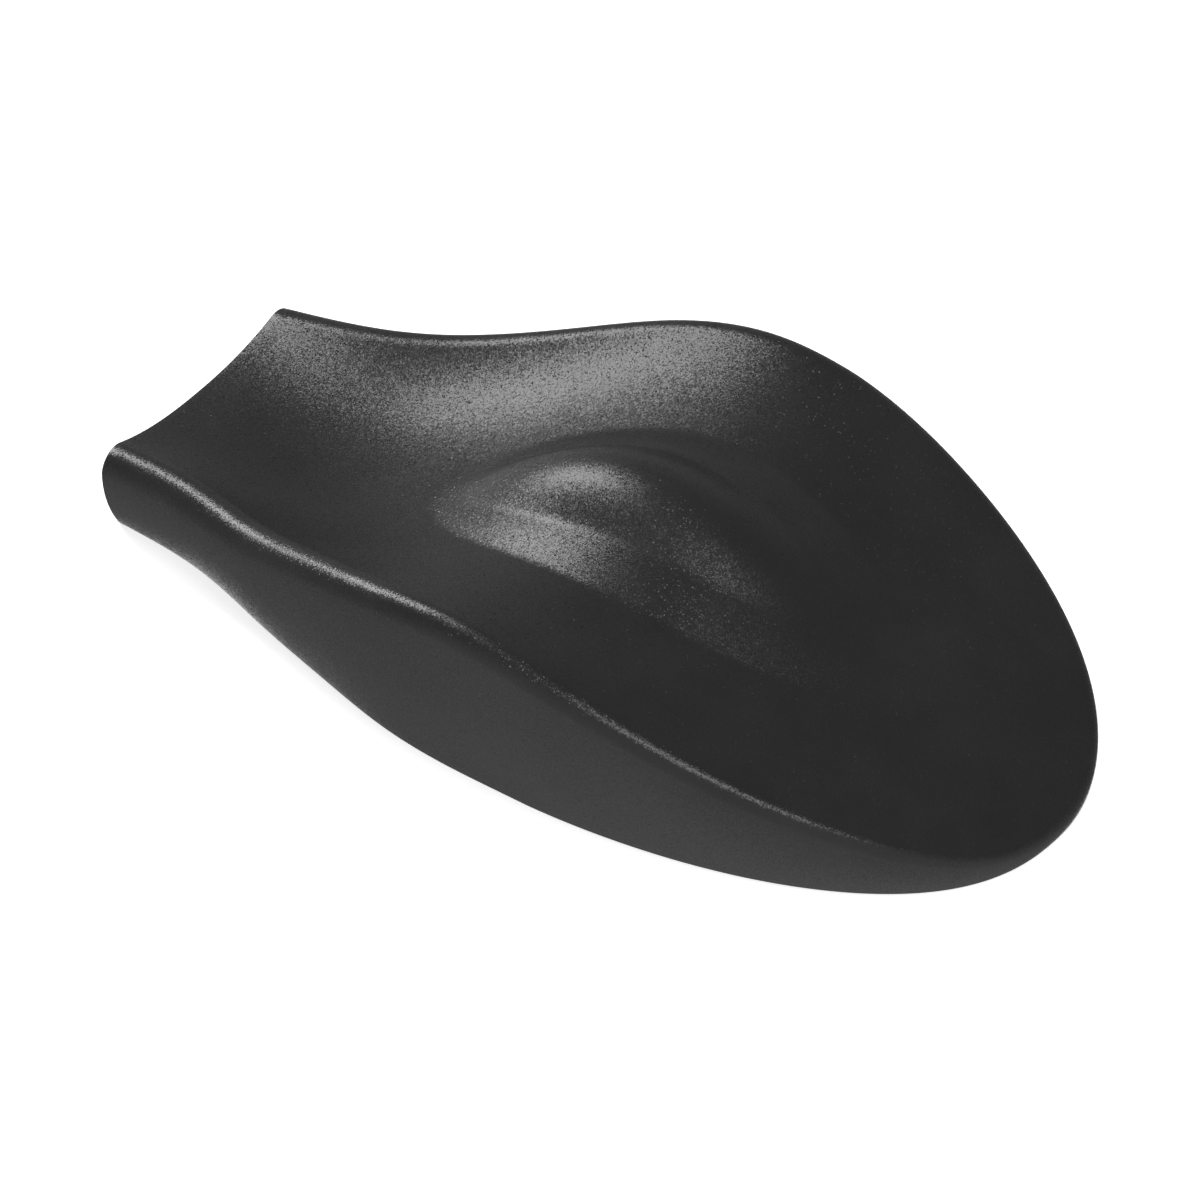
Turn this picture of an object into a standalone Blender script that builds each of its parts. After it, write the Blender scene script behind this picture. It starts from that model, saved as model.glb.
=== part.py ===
"""Hand-held leaf scoop: one of a pair of moulded "grabber hands" for picking up fallen leaves.

A single thin-walled moulding makes the scoop. It has a shallow bowl on top, a raised
hand-shaped mound in the middle, a rounded rim and a drafted skirt that is open below.
The hand goes in from under the heel and closes on a sleeved grip bar, which two brackets
carry under the mound. Each bracket is screwed to two bosses inside the shell. The heel is
a plain cut end, so the hollow is open behind for the wrist.

Frame, in metres: +X from heel to tip, +Y across, +Z up, origin on the resting plane
under the middle of the length. Stations ("s") run along X from just inside the heel.
"""
import math

import bmesh
import bpy
import numpy as np
from mathutils import Matrix, Vector

# ---------------------------------------------------------------- driving dimensions
HEEL_AT = -0.0045                   # station of the cut heel end
TIP_AT = 0.380
MIDDLE = (HEEL_AT + TIP_AT) / 2
WALL = 0.0028                       # shell wall thickness
GAP = 0.0003                        # clearance between separate pieces
ROLL_PAST = math.radians(4)         # the rounded rim turns this far past vertical
# Mean slope of the skirt, which curves in towards its bottom edge.
SKIRT_SLOPE = ((-0.0045, 0.36), (0.030, 0.34), (0.080, 0.265), (0.200, 0.215), (0.380, 0.300))

# Half width of the rim from heel to widest station; the rest is a superellipse to the tip.
HALF_WIDTH = ((-0.0045, 0.0575), (0.035, 0.0638), (0.070, 0.0758), (0.105, 0.0882),
              (0.140, 0.1000), (0.175, 0.1064), (0.212, 0.1080))
WIDEST_AT = HALF_WIDTH[-1][0]
NOSE_POWERS = (1.8, 2.3)            # superellipse exponents along and across the nose

# Side view of the rim, and depth of the bowl's centre line below it.
RIM_HEIGHT = ((-0.0045, 0.0373), (0.035, 0.0425), (0.070, 0.0482), (0.105, 0.0590), (0.140, 0.0708),
              (0.185, 0.0783), (0.226, 0.0724), (0.274, 0.0566), (0.316, 0.0402), (0.354, 0.0230),
              (0.380, 0.0080))
BOWL_DEPTH = ((-0.0045, 0.0075), (0.030, 0.0132), (0.060, 0.0178), (0.114, 0.0212), (0.171, 0.0152),
              (0.228, 0.0055), (0.285, 0.0030), (0.342, 0.0012), (0.380, 0.0004))
BOWL_POWER = 2.35                   # flat in the middle, steeper towards the rim
RIM_RADIUS = ((-0.0045, 0.0085), (0.040, 0.0082), (0.200, 0.0072), (0.380, 0.0046))

# Raised mound that clears the knuckles, in two tiers on the bowl's floor: each is a skewed
# superellipsoid of (centre, height, half length, half width, skew, plan power, edge power).
MOUND_TIERS = ((0.208, 0.0105, 0.098, 0.0485, -0.35, 2.1, 1.10),
               (0.196, 0.0085, 0.080, 0.0280, -0.45, 2.0, 1.40))

# Grip bar across the hollow, its brackets, bosses and screws.
GRIP_AT = 0.205
GRIP_Z = 0.036
CORE_RADIUS = 0.0100
CORE_LENGTH = 0.1180
SLEEVE_RADIUS = 0.0150
SLEEVE_LENGTH = 0.1120
SLEEVE_WAIST = 0.07                 # the barrel thins by this share towards its ends
COLLAR_WIDTH = 0.0045
EDGE_BREAK = 0.0008                 # chamfer on turned edges
CHEEK_INNER_Y = 0.0565              # inner face of each bracket
CHEEK_THICKNESS = 0.0070
SOCKET_DEPTH = 0.0028               # recess in the cheek that seats the end of the core
HUB_RADIUS = 0.0165
CHEEK_WAIST = 0.0185                # half width of the cheek just above the hub
CHEEK_WAIST_RISE = 0.0120
CHEEK_FLARE = 0.0245                # half width of the cheek at the foot
FOOT_LENGTH = 0.0600
FOOT_CORNER = 0.0040
FOOT_OUTER_Y = 0.0760
FOOT_THICKNESS = 0.0045
GUSSET_THICKNESS = 0.0024
GUSSET_SPREAD = 0.0120
GUSSET_DEPTH = 0.0200
GUSSET_TOE = 0.0030                 # the gusset stops short of the foot's edge
GUSSET_ROOT = 0.0010                # depth that it is set into the cheek and the foot
BOSS_FACE_Z = 0.0580
BOSS_RADIUS = 0.0048
BOSS_SPACING = 0.0420
BOSS_Y = 0.0695
SCREW_SHANK_RADIUS = 0.0018
SCREW_HEAD_RADIUS = 0.0038
SCREW_HEAD_HEIGHT = 0.0024
FOOT_SCREW_LENGTH = 0.0100
BAR_SCREW_LENGTH = 0.0160
RECESS_ACROSS_CORNERS = 0.0034      # hexagon recess in each screw head
RECESS_DEPTH = 0.0012
CUT_PAST = 0.0020                   # how far a cutter reaches past the face it cuts

# Mesh of the shell: rows run from a spine on the centre line out to the rim.
SIDE_COUNT = 42                     # rows from heel to tip
RING_COUNT = 11                     # rings between the spine and the rim
ROLL_COUNT = 5                      # segments of the rounded rim
SKIRT_COUNT = 3                     # segments of the skirt
TURN_WEIGHT = 0.040                 # extra row density per radian of turn, in metres
SPINE_END = 0.335                   # the last row fans out from here to the tip
SPINE_FAN = 0.25                    # share of the spine that is spaced evenly by row
ROUND_SEGMENTS = 32
SCREW_SEGMENTS = 20

COLLECTION_NAME = "leaf_scoop"


# ---------------------------------------------------------------- shape of the scoop
def spline(stations):
    """Return a natural cubic spline through (position, value) stations as a function."""
    x, y = np.array(stations, dtype=float).T
    h = np.diff(x)
    system = np.eye(len(x))
    right = np.zeros(len(x))
    for i in range(1, len(x) - 1):
        system[i, i - 1:i + 2] = h[i - 1], 2 * (h[i - 1] + h[i]), h[i]
        right[i] = 6 * ((y[i + 1] - y[i]) / h[i] - (y[i] - y[i - 1]) / h[i - 1])
    bend = np.linalg.solve(system, right)

    def value(s):
        i = int(np.clip(np.searchsorted(x, s) - 1, 0, len(h) - 1))
        a = (x[i + 1] - s) / h[i]
        b = 1 - a
        curve = ((a ** 3 - a) * bend[i] + (b ** 3 - b) * bend[i + 1]) * h[i] ** 2 / 6
        return a * y[i] + b * y[i + 1] + curve

    return value


rear_half_width = spline(HALF_WIDTH)
rim_height = spline(RIM_HEIGHT)
bowl_depth = spline(BOWL_DEPTH)
rim_radius = spline(RIM_RADIUS)
skirt_slope = spline(SKIRT_SLOPE)


def half_width(s):
    """Half width of the scoop's outline at station s."""
    if s <= WIDEST_AT:
        return rear_half_width(s)
    along = min((s - WIDEST_AT) / (TIP_AT - WIDEST_AT), 1.0) ** NOSE_POWERS[0]
    return HALF_WIDTH[-1][1] * (1 - along) ** (1 / NOSE_POWERS[1])


def mound_height(s, y):
    """Height of the knuckle mound above the bowl's floor."""
    height = 0.0
    for middle, rise, half_length, half_across, skew, plan_power, edge_power in MOUND_TIERS:
        along = (s - middle) / half_length
        inside = 1 - abs(along) ** plan_power - abs(y / half_across) ** plan_power
        height += rise * (1 + skew * along) * max(inside, 0.0) ** edge_power
    return height


def skin_height(s, y):
    """Height of the scoop's top surface inside the rounded rim."""
    inner = max(half_width(s) - rim_radius(s), 0.001)
    across = min(abs(y) / inner, 1.0)
    bowl = bowl_depth(s) * (1 - across ** BOWL_POWER)
    return rim_height(s) - bowl + mound_height(s, y)


def half_outline():
    """Plan points (s, y) of the rim from the heel end to the tip, closer in the turns."""
    dense = [(s, half_width(s)) for s in np.linspace(HEEL_AT, WIDEST_AT, 80)]
    for angle in np.linspace(0, math.pi / 2, 160)[1:]:
        s = WIDEST_AT + (TIP_AT - WIDEST_AT) * math.sin(angle) ** (2 / NOSE_POWERS[0])
        dense.append((s, half_width(s)))
    dense = np.array(dense)
    steps = np.diff(dense, axis=0)
    heading = np.unwrap(np.arctan2(steps[:, 1], steps[:, 0]))
    turn = np.abs(np.gradient(heading))
    run = np.concatenate([[0], np.cumsum(np.linalg.norm(steps, axis=1) + TURN_WEIGHT * turn)])
    even = np.linspace(0, run[-1], SIDE_COUNT + 1)
    return np.column_stack([np.interp(even, run, dense[:, 0]), np.interp(even, run, dense[:, 1])])


def outward_normals(points):
    """Plan normals of the half outline; the heel's row lies in its cut plane."""
    tangent = np.gradient(points, axis=0)
    normals = np.column_stack([-tangent[:, 1], tangent[:, 0]])
    normals[0] = (0, 1)
    normals[-1] = (1, 0)
    return normals / np.linalg.norm(normals, axis=1)[:, None]


def spine_station(index, s):
    """Station on the spine where the row of an outline point starts."""
    along = (s - HEEL_AT) / (TIP_AT - HEEL_AT)
    share = SPINE_FAN * index / SIDE_COUNT + (1 - SPINE_FAN) * along
    return HEEL_AT + (SPINE_END - HEEL_AT) * share


def skin_row(index, point, normal):
    """One row of the outer surface, from the centre line over the rim to below the skirt."""
    s, y = point
    radius = rim_radius(s)
    step = 0.001
    rise = 0.0
    for _ in range(4):
        inset = radius * (1 + math.sin(rise))
        edge = point - normal * inset
        inner = edge - normal * step
        rise = math.atan((skin_height(*edge) - skin_height(*inner)) / step)
    spine = np.array([spine_station(index, s), 0.0])
    row = []
    for t in np.linspace(0, 1, RING_COUNT + 1):
        place = spine + (edge - spine) * t
        row.append((*place, skin_height(*place)))
    centre = edge + normal * radius * math.sin(rise)
    centre_z = row[-1][2] - radius * math.cos(rise)
    for angle in np.linspace(-rise, math.pi / 2 + ROLL_PAST, ROLL_COUNT + 1)[1:]:
        place = centre + normal * radius * math.sin(angle)
        row.append((*place, centre_z + radius * math.cos(angle)))
    return row + skirt_points(row[-1], normal, skirt_slope(s))


def skirt_points(top, normal, slope):
    """Points down the skirt: a parabola that leaves the rim's roll smoothly."""
    start = math.tan(ROLL_PAST)
    drop = top[2]
    points = []
    for share in [*np.linspace(0, 1, SKIRT_COUNT + 1)[1:], 1 + WALL / drop]:
        inset = drop * (start * share + (slope - start) * share ** 2)
        place = np.array(top[:2]) - normal * inset
        points.append((*place, drop * (1 - share)))
    return points


def make_skin():
    """Open outer surface of the scoop, on both sides of the centre line."""
    points = half_outline()
    normals = outward_normals(points)
    bm = bmesh.new()
    grid = []
    for side in (1, -1):
        rows = []
        for index in range(SIDE_COUNT + 1):
            row = skin_row(index, points[index], normals[index])
            rows.append([bm.verts.new((s - MIDDLE, side * y, z)) for s, y, z in row])
        grid.append((side, rows))
    for side, rows in grid:
        for near, far in zip(rows, rows[1:]):
            for i in range(len(near) - 1):
                corners = (near[i], near[i + 1], far[i + 1], far[i])
                bm.faces.new(corners if side < 0 else corners[::-1])
    bmesh.ops.remove_doubles(bm, verts=bm.verts, dist=1e-6)
    return bm


# ---------------------------------------------------------------- small modelling helpers
def clear_scene():
    """Remove every object of the open file."""
    for obj in list(bpy.data.objects):
        bpy.data.objects.remove(obj, do_unlink=True)


def new_collection(name):
    """Make a collection in the scene."""
    collection = bpy.data.collections.new(name)
    bpy.context.scene.collection.children.link(collection)
    return collection


def principled(name, color, roughness, metallic=0.0):
    """Plain Principled material."""
    material = bpy.data.materials.new(name)
    material.use_nodes = True
    shader = material.node_tree.nodes["Principled BSDF"]
    shader.inputs["Base Color"].default_value = (*color, 1)
    shader.inputs["Roughness"].default_value = roughness
    shader.inputs["Metallic"].default_value = metallic
    return material


def add_object(name, bm, collection, material=None):
    """Turn a bmesh into an object with smooth faces and sharp edges past 35 degrees."""
    mesh = bpy.data.meshes.new(name)
    bm.to_mesh(mesh)
    bm.free()
    mesh.shade_smooth()
    mesh.set_sharp_from_angle(angle=math.radians(35))
    obj = bpy.data.objects.new(name, mesh)
    collection.objects.link(obj)
    if material:
        mesh.materials.append(material)
    return obj


def cylinder(radius, length, centre, axis="Z", segments=ROUND_SEGMENTS):
    """Capped cylinder as a bmesh, along a frame axis."""
    bm = bmesh.new()
    bmesh.ops.create_cone(bm, cap_ends=True, segments=segments, radius1=radius, radius2=radius, depth=length)
    turn = {"X": Matrix.Rotation(math.pi / 2, 4, "Y"), "Y": Matrix.Rotation(-math.pi / 2, 4, "X"),
            "Z": Matrix.Identity(4)}[axis]
    bmesh.ops.transform(bm, matrix=Matrix.Translation(centre) @ turn, verts=bm.verts)
    return bm


def box(low, high):
    """Axis-aligned box as a bmesh."""
    low = Vector(low)
    high = Vector(high)
    bm = bmesh.new()
    bmesh.ops.create_cube(bm, size=1)
    bmesh.ops.scale(bm, vec=high - low, verts=bm.verts)
    bmesh.ops.translate(bm, vec=(low + high) / 2, verts=bm.verts)
    return bm


def tool(name, bm, cutters):
    """A cutter object: wire display, never rendered."""
    obj = add_object(name, bm, cutters)
    obj.hide_render = True
    obj.display_type = "WIRE"
    return obj


def combine(target, other, operation):
    """Add an exact Boolean modifier."""
    modifier = target.modifiers.new(other.name, "BOOLEAN")
    modifier.operation = operation
    modifier.solver = "EXACT"
    modifier.object = other


def turned(name, profile, collection, material, segments=ROUND_SEGMENTS):
    """Revolve a profile of (radius, height) points about Z with a Screw modifier."""
    bm = bmesh.new()
    verts = [bm.verts.new((radius, 0, height)) for radius, height in profile]
    for a, b in zip(verts, verts[1:]):
        bm.edges.new((a, b))
    if profile[0][0] > 0:
        bm.edges.new((verts[-1], verts[0]))
    obj = add_object(name, bm, collection, material)
    screw = obj.modifiers.new("turn", "SCREW")
    screw.axis = "Z"
    screw.angle = 2 * math.pi
    screw.steps = segments
    screw.render_steps = segments
    screw.use_merge_vertices = True
    screw.merge_threshold = 0.00001
    screw.use_smooth_shade = True
    return obj


# ---------------------------------------------------------------- sub-parts
def screw_hole(length, middle, axis):
    """Cutter for a screw's clearance hole."""
    return cylinder(SCREW_SHANK_RADIUS + GAP, length, middle, axis, SCREW_SEGMENTS)


def boss_places():
    """(station, y) of the four screw bosses under the skin."""
    return [(GRIP_AT + end * BOSS_SPACING / 2, side * BOSS_Y) for side in (1, -1) for end in (-1, 1)]


def make_shell(parts, cutters):
    """Moulded scoop: hollow shell, flat resting edge and four drilled bosses."""
    material = principled("moulded_black", (0.022, 0.022, 0.023), 0.55)
    shell = add_object("scoop_shell", make_skin(), parts, material)
    wall = shell.modifiers.new("wall", "SOLIDIFY")
    wall.thickness = WALL
    wall.offset = -1
    wall.use_even_offset = True
    for number, (s, y) in enumerate(boss_places(), 1):
        top = skin_height(s, y) - WALL * 0.8
        height = top - BOSS_FACE_Z
        middle = (s - MIDDLE, y, BOSS_FACE_Z + height / 2)
        combine(shell, tool(f"boss_{number}", cylinder(BOSS_RADIUS, height, middle), cutters), "UNION")
    for number, (s, y) in enumerate(boss_places(), 1):
        depth = FOOT_SCREW_LENGTH - FOOT_THICKNESS
        pilot = screw_hole(2 * depth, (s - MIDDLE, y, BOSS_FACE_Z), "Z")
        combine(shell, tool(f"pilot_{number}", pilot, cutters), "DIFFERENCE")
    reach = TIP_AT - MIDDLE + CUT_PAST
    floor = box((-reach, -reach, -2 * WALL), (reach, reach, 0))
    combine(shell, tool("resting_plane", floor, cutters), "DIFFERENCE")


def cheek_outline():
    """Side view of a bracket cheek (x, z): a round hub that flares to the foot."""
    foot_z = BOSS_FACE_Z - GAP
    hub = [(HUB_RADIUS * math.cos(angle), GRIP_Z + HUB_RADIUS * math.sin(angle))
           for angle in np.linspace(math.radians(155), math.radians(385), 24)]
    right = [(CHEEK_WAIST, GRIP_Z + CHEEK_WAIST_RISE), (CHEEK_FLARE, foot_z - FOOT_THICKNESS),
             (CHEEK_FLARE, foot_z)]
    left = [(-x, z) for x, z in reversed(right)]
    return [(GRIP_AT - MIDDLE + x, z) for x, z in hub + right + left]


def prism(corners, sweep):
    """Closed prism: a flat face through the corners, swept by a vector."""
    bm = bmesh.new()
    face = bm.faces.new([bm.verts.new(corner) for corner in corners])
    swept = bmesh.ops.extrude_face_region(bm, geom=[face])["geom"]
    moved = [item for item in swept if isinstance(item, bmesh.types.BMVert)]
    bmesh.ops.translate(bm, vec=sweep, verts=moved)
    bmesh.ops.recalc_face_normals(bm, faces=bm.faces)
    return bm


def foot_plate(grip_x, low_y, high_y, top):
    """Bracket foot: a plate with rounded vertical corners."""
    half = FOOT_LENGTH / 2
    plate = box((grip_x - half, low_y, top - FOOT_THICKNESS), (grip_x + half, high_y, top))
    upright = [e for e in plate.edges if e.verts[0].co.xy == e.verts[1].co.xy]
    bmesh.ops.bevel(plate, geom=upright, offset=FOOT_CORNER, segments=4, affect="EDGES", profile=0.5)
    return plate


def make_bracket(name, side, parts, cutters, material):
    """Grip bracket: flared cheek, foot plate, two gussets, a socket and three screw holes."""
    grip_x = GRIP_AT - MIDDLE
    foot_top = BOSS_FACE_Z - GAP
    inner = side * CHEEK_INNER_Y
    outer = side * (CHEEK_INNER_Y + CHEEK_THICKNESS)
    edge = side * FOOT_OUTER_Y
    cheek = prism([(x, inner, z) for x, z in cheek_outline()], (0, outer - inner, 0))
    bracket = add_object(name, cheek, parts, material)
    foot = foot_plate(grip_x, min(inner, edge), max(inner, edge), foot_top)
    combine(bracket, tool(f"{name}_foot", foot, cutters), "UNION")

    root_y = outer - side * GUSSET_ROOT
    toe_y = edge - side * GUSSET_TOE
    for end in (-1, 1):
        x = grip_x + end * GUSSET_SPREAD / 2 - GUSSET_THICKNESS / 2
        corners = ((x, root_y, foot_top - GUSSET_ROOT), (x, toe_y, foot_top - FOOT_THICKNESS + GUSSET_ROOT),
                   (x, root_y, foot_top - GUSSET_DEPTH))
        gusset = prism(corners, (GUSSET_THICKNESS, 0, 0))
        combine(bracket, tool(f"{name}_gusset_{end}", gusset, cutters), "UNION")

    seat_y = inner + side * (SOCKET_DEPTH - CUT_PAST) / 2
    seat = cylinder(CORE_RADIUS + GAP, SOCKET_DEPTH + CUT_PAST, (grip_x, seat_y, GRIP_Z), axis="Y")
    combine(bracket, tool(f"{name}_seat", seat, cutters), "DIFFERENCE")
    through = 2 * (CHEEK_THICKNESS + CUT_PAST)
    bar_hole = screw_hole(through, (grip_x, outer, GRIP_Z), "Y")
    combine(bracket, tool(f"{name}_bar_hole", bar_hole, cutters), "DIFFERENCE")
    for number, (s, y) in enumerate(boss_places(), 1):
        if y * side > 0:
            hole = screw_hole(through, (s - MIDDLE, y, foot_top), "Z")
            combine(bracket, tool(f"{name}_foot_hole_{number}", hole, cutters), "DIFFERENCE")


def make_core(parts, cutters):
    """Grip core: a rod with chamfered ends and a screw hole in each end."""
    material = principled("grip_core_nylon", (0.045, 0.045, 0.047), 0.5)
    half = CORE_LENGTH / 2
    profile = [(0, half), (CORE_RADIUS - EDGE_BREAK, half), (CORE_RADIUS, half - EDGE_BREAK),
               (CORE_RADIUS, EDGE_BREAK - half), (CORE_RADIUS - EDGE_BREAK, -half), (0, -half)]
    core = turned("grip_core", profile, parts, material)
    core.rotation_euler = (math.pi / 2, 0, 0)
    core.location = (GRIP_AT - MIDDLE, 0, GRIP_Z)
    for side in (1, -1):
        hole = screw_hole(2 * BAR_SCREW_LENGTH, (GRIP_AT - MIDDLE, side * half, GRIP_Z), "Y")
        combine(core, tool(f"core_hole_{side}", hole, cutters), "DIFFERENCE")


def make_sleeve(parts):
    """Soft grip sleeve: barrel-shaped, with a collar at each end."""
    material = principled("grip_rubber", (0.030, 0.030, 0.032), 0.8)
    half = SLEEVE_LENGTH / 2
    bore = CORE_RADIUS + GAP
    reach = half - COLLAR_WIDTH - EDGE_BREAK
    barrel = [(SLEEVE_RADIUS * (1 - SLEEVE_WAIST * (z / half) ** 2), z)
              for z in np.linspace(reach, -reach, 9)]
    collar = [(bore, half), (SLEEVE_RADIUS - EDGE_BREAK, half), (SLEEVE_RADIUS, half - EDGE_BREAK),
              (SLEEVE_RADIUS, half - COLLAR_WIDTH)]
    far_collar = [(radius, -z) for radius, z in reversed(collar)]
    sleeve = turned("grip_sleeve", collar + barrel + far_collar, parts, material)
    sleeve.rotation_euler = (math.pi / 2, 0, 0)
    sleeve.location = (GRIP_AT - MIDDLE, 0, GRIP_Z)


def make_screw(name, length, parts, cutters, material):
    """Pan-head screw along Z: shank up from z = 0, domed head below, hexagon recess."""
    head = [(SCREW_HEAD_RADIUS * math.cos(angle), -SCREW_HEAD_HEIGHT * math.sin(angle))
            for angle in np.linspace(0, math.pi / 2, 7)[:-1]]
    shank = [(0, length), (SCREW_SHANK_RADIUS - EDGE_BREAK, length),
             (SCREW_SHANK_RADIUS, length - EDGE_BREAK), (SCREW_SHANK_RADIUS, 0)]
    screw = turned(name, shank + head + [(0, -SCREW_HEAD_HEIGHT)], parts, material, SCREW_SEGMENTS)
    recess = cylinder(RECESS_ACROSS_CORNERS / 2, 2 * RECESS_DEPTH, (0, 0, -SCREW_HEAD_HEIGHT), segments=6)
    combine(screw, tool(f"{name}_recess", recess, cutters), "DIFFERENCE")
    return screw


def place_screws(parts, cutters):
    """Four screws up into the bosses and one into each end of the core."""
    material = principled("screw_steel", (0.55, 0.55, 0.56), 0.35, 1.0)
    head_z = BOSS_FACE_Z - GAP - FOOT_THICKNESS - GAP
    for number, (s, y) in enumerate(boss_places(), 1):
        length = FOOT_SCREW_LENGTH - GAP
        screw = make_screw(f"bracket_screw_{number}", length, parts, cutters, material)
        screw.location = (s - MIDDLE, y, head_z)
        follow(screw)
    for name, side in (("bar_screw_left", 1), ("bar_screw_right", -1)):
        screw = make_screw(name, BAR_SCREW_LENGTH, parts, cutters, material)
        screw.rotation_euler = (side * math.pi / 2, 0, 0)
        outer = CHEEK_INNER_Y + CHEEK_THICKNESS + GAP
        screw.location = (GRIP_AT - MIDDLE, side * outer, GRIP_Z)
        follow(screw)


def follow(obj):
    """Give an object's cutters the same place as the object itself."""
    for modifier in obj.modifiers:
        if modifier.type == "BOOLEAN":
            modifier.object.location = obj.location
            modifier.object.rotation_euler = obj.rotation_euler


def main():
    clear_scene()
    parts = new_collection(COLLECTION_NAME)
    cutters = new_collection("cutters")
    make_shell(parts, cutters)
    nylon = principled("bracket_nylon", (0.040, 0.040, 0.042), 0.5)
    make_bracket("grip_bracket_left", 1, parts, cutters, nylon)
    make_bracket("grip_bracket_right", -1, parts, cutters, nylon)
    make_core(parts, cutters)
    make_sleeve(parts)
    place_screws(parts, cutters)


main()
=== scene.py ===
"""Visible model of the hand-held leaf scoop: shell, grip and fasteners, their finishes and a studio.

Everything is in metres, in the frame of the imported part: +X from heel to tip, +Y across, +Z up,
with the origin on the resting plane under the middle of the length. Stations ("s") run along X
from just inside the heel, as they do in the part's own source.
"""

import logging
import math
from collections.abc import Callable, Iterable
from dataclasses import dataclass, field
from enum import Enum

import bmesh
import bpy
import numpy as np
from mathutils import Matrix, Vector


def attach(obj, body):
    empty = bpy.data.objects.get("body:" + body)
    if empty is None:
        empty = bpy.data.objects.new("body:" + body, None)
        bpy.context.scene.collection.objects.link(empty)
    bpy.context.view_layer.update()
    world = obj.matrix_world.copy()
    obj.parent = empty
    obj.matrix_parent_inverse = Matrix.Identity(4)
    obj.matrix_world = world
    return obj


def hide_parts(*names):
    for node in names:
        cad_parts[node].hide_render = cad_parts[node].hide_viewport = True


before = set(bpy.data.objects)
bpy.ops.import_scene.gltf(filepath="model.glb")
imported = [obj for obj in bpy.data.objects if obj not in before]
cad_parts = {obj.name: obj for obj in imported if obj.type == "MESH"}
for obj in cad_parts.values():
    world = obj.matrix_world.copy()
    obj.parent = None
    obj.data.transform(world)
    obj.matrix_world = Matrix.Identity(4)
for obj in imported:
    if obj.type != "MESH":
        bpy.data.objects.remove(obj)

log = logging.getLogger("leaf_scoop")

Number = float | int
Stations = tuple[tuple[float, float], ...]
Colour = tuple[float, float, float]


# ---------------------------------------------------------------- named options
class Side(Enum):
    """Which side of the scoop's middle plane a piece is on."""

    LEFT = 1
    RIGHT = -1


class Layer(Enum):
    """Mesh attributes that the finishes read."""

    RIM = "rim"
    INNER = "inner"
    TURNED = "turned"


# ---------------------------------------------------------------- node building
class Value:
    """A number in a node tree; arithmetic on it adds Math nodes."""

    def __init__(self, graph: "Graph", socket: bpy.types.NodeSocket) -> None:
        """Wrap an output socket.

        Args:
            graph: The graph that the socket belongs to.
            socket: The output socket.
        """
        self.graph = graph
        self.socket = socket

    def _math(self, operation: str, *terms: "Value | Number") -> "Value":
        """Add one Math node.

        Args:
            operation: The node's operation.
            *terms: What goes into its sockets, in order.

        Returns:
            The node's result.
        """
        node = self.graph.node("ShaderNodeMath", {"operation": operation}, dict(enumerate(terms)))
        return Value(self.graph, node.outputs[0])

    def __add__(self, other: "Value | Number") -> "Value":
        """Sum."""
        return self._math("ADD", self, other)

    __radd__ = __add__

    def __sub__(self, other: "Value | Number") -> "Value":
        """Difference."""
        return self._math("SUBTRACT", self, other)

    def __rsub__(self, other: Number) -> "Value":
        """Reflected difference, so that 1 - mask works."""
        return self._math("SUBTRACT", other, self)

    def __mul__(self, other: "Value | Number") -> "Value":
        """Product."""
        return self._math("MULTIPLY", self, other)

    __rmul__ = __mul__

    def __truediv__(self, other: "Value | Number") -> "Value":
        """Quotient."""
        return self._math("DIVIDE", self, other)

    def __pow__(self, other: "Value | Number") -> "Value":
        """Power."""
        return self._math("POWER", self, other)

    def __abs__(self) -> "Value":
        """Size without sign."""
        return self._math("ABSOLUTE", self)

    def at_least(self, other: "Value | Number") -> "Value":
        """The larger of two numbers."""
        return self._math("MAXIMUM", self, other)

    def step(self, low: Number, high: Number) -> "Value":
        """Rise smoothly from 0 to 1.

        Args:
            low: Where the rise starts.
            high: Where it ends.

        Returns:
            A number from 0 to 1.
        """
        settings = {"interpolation_type": "SMOOTHSTEP"}
        sockets = {"Value": self, "From Min": low, "From Max": high}
        node = self.graph.node("ShaderNodeMapRange", settings, sockets)
        return Value(self.graph, node.outputs[0])


class Graph:
    """A node tree, and the one way that nodes are added to it."""

    def __init__(self, tree: bpy.types.NodeTree) -> None:
        """Wrap a node tree."""
        self.tree = tree

    def node(self, kind: str, settings: dict | None = None, sockets: dict | None = None) -> bpy.types.Node:
        """Add a node.

        Args:
            kind: The node's type.
            settings: Its properties, set first.
            sockets: Values or links for its inputs, by name or number.

        Returns:
            The new node.
        """
        node = self.tree.nodes.new(kind)
        for name, value in (settings or {}).items():
            setattr(node, name, value)
        for name, value in (sockets or {}).items():
            self._fill(self._input(node, name), value)
        return node

    def value(self, node: bpy.types.Node, name: str | int = 0) -> Value:
        """Wrap a node's output as a number."""
        return Value(self, node.outputs[name])

    def link(self, source: bpy.types.NodeSocket, target: bpy.types.NodeSocket) -> None:
        """Join two sockets."""
        self.tree.links.new(source, target)

    @staticmethod
    def _input(node: bpy.types.Node, name: str | int) -> bpy.types.NodeSocket:
        """Find an input by number, or the first one in use with a name."""
        if isinstance(name, int):
            return node.inputs[name]
        return next(s for s in node.inputs if s.name == name and s.enabled)

    def _fill(self, socket: bpy.types.NodeSocket, value: object) -> None:
        """Link a socket to a value's socket, or set its constant."""
        if isinstance(value, Value):
            self.link(value.socket, socket)
        elif isinstance(value, bpy.types.NodeSocket):
            self.link(value, socket)
        else:
            socket.default_value = value


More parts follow.
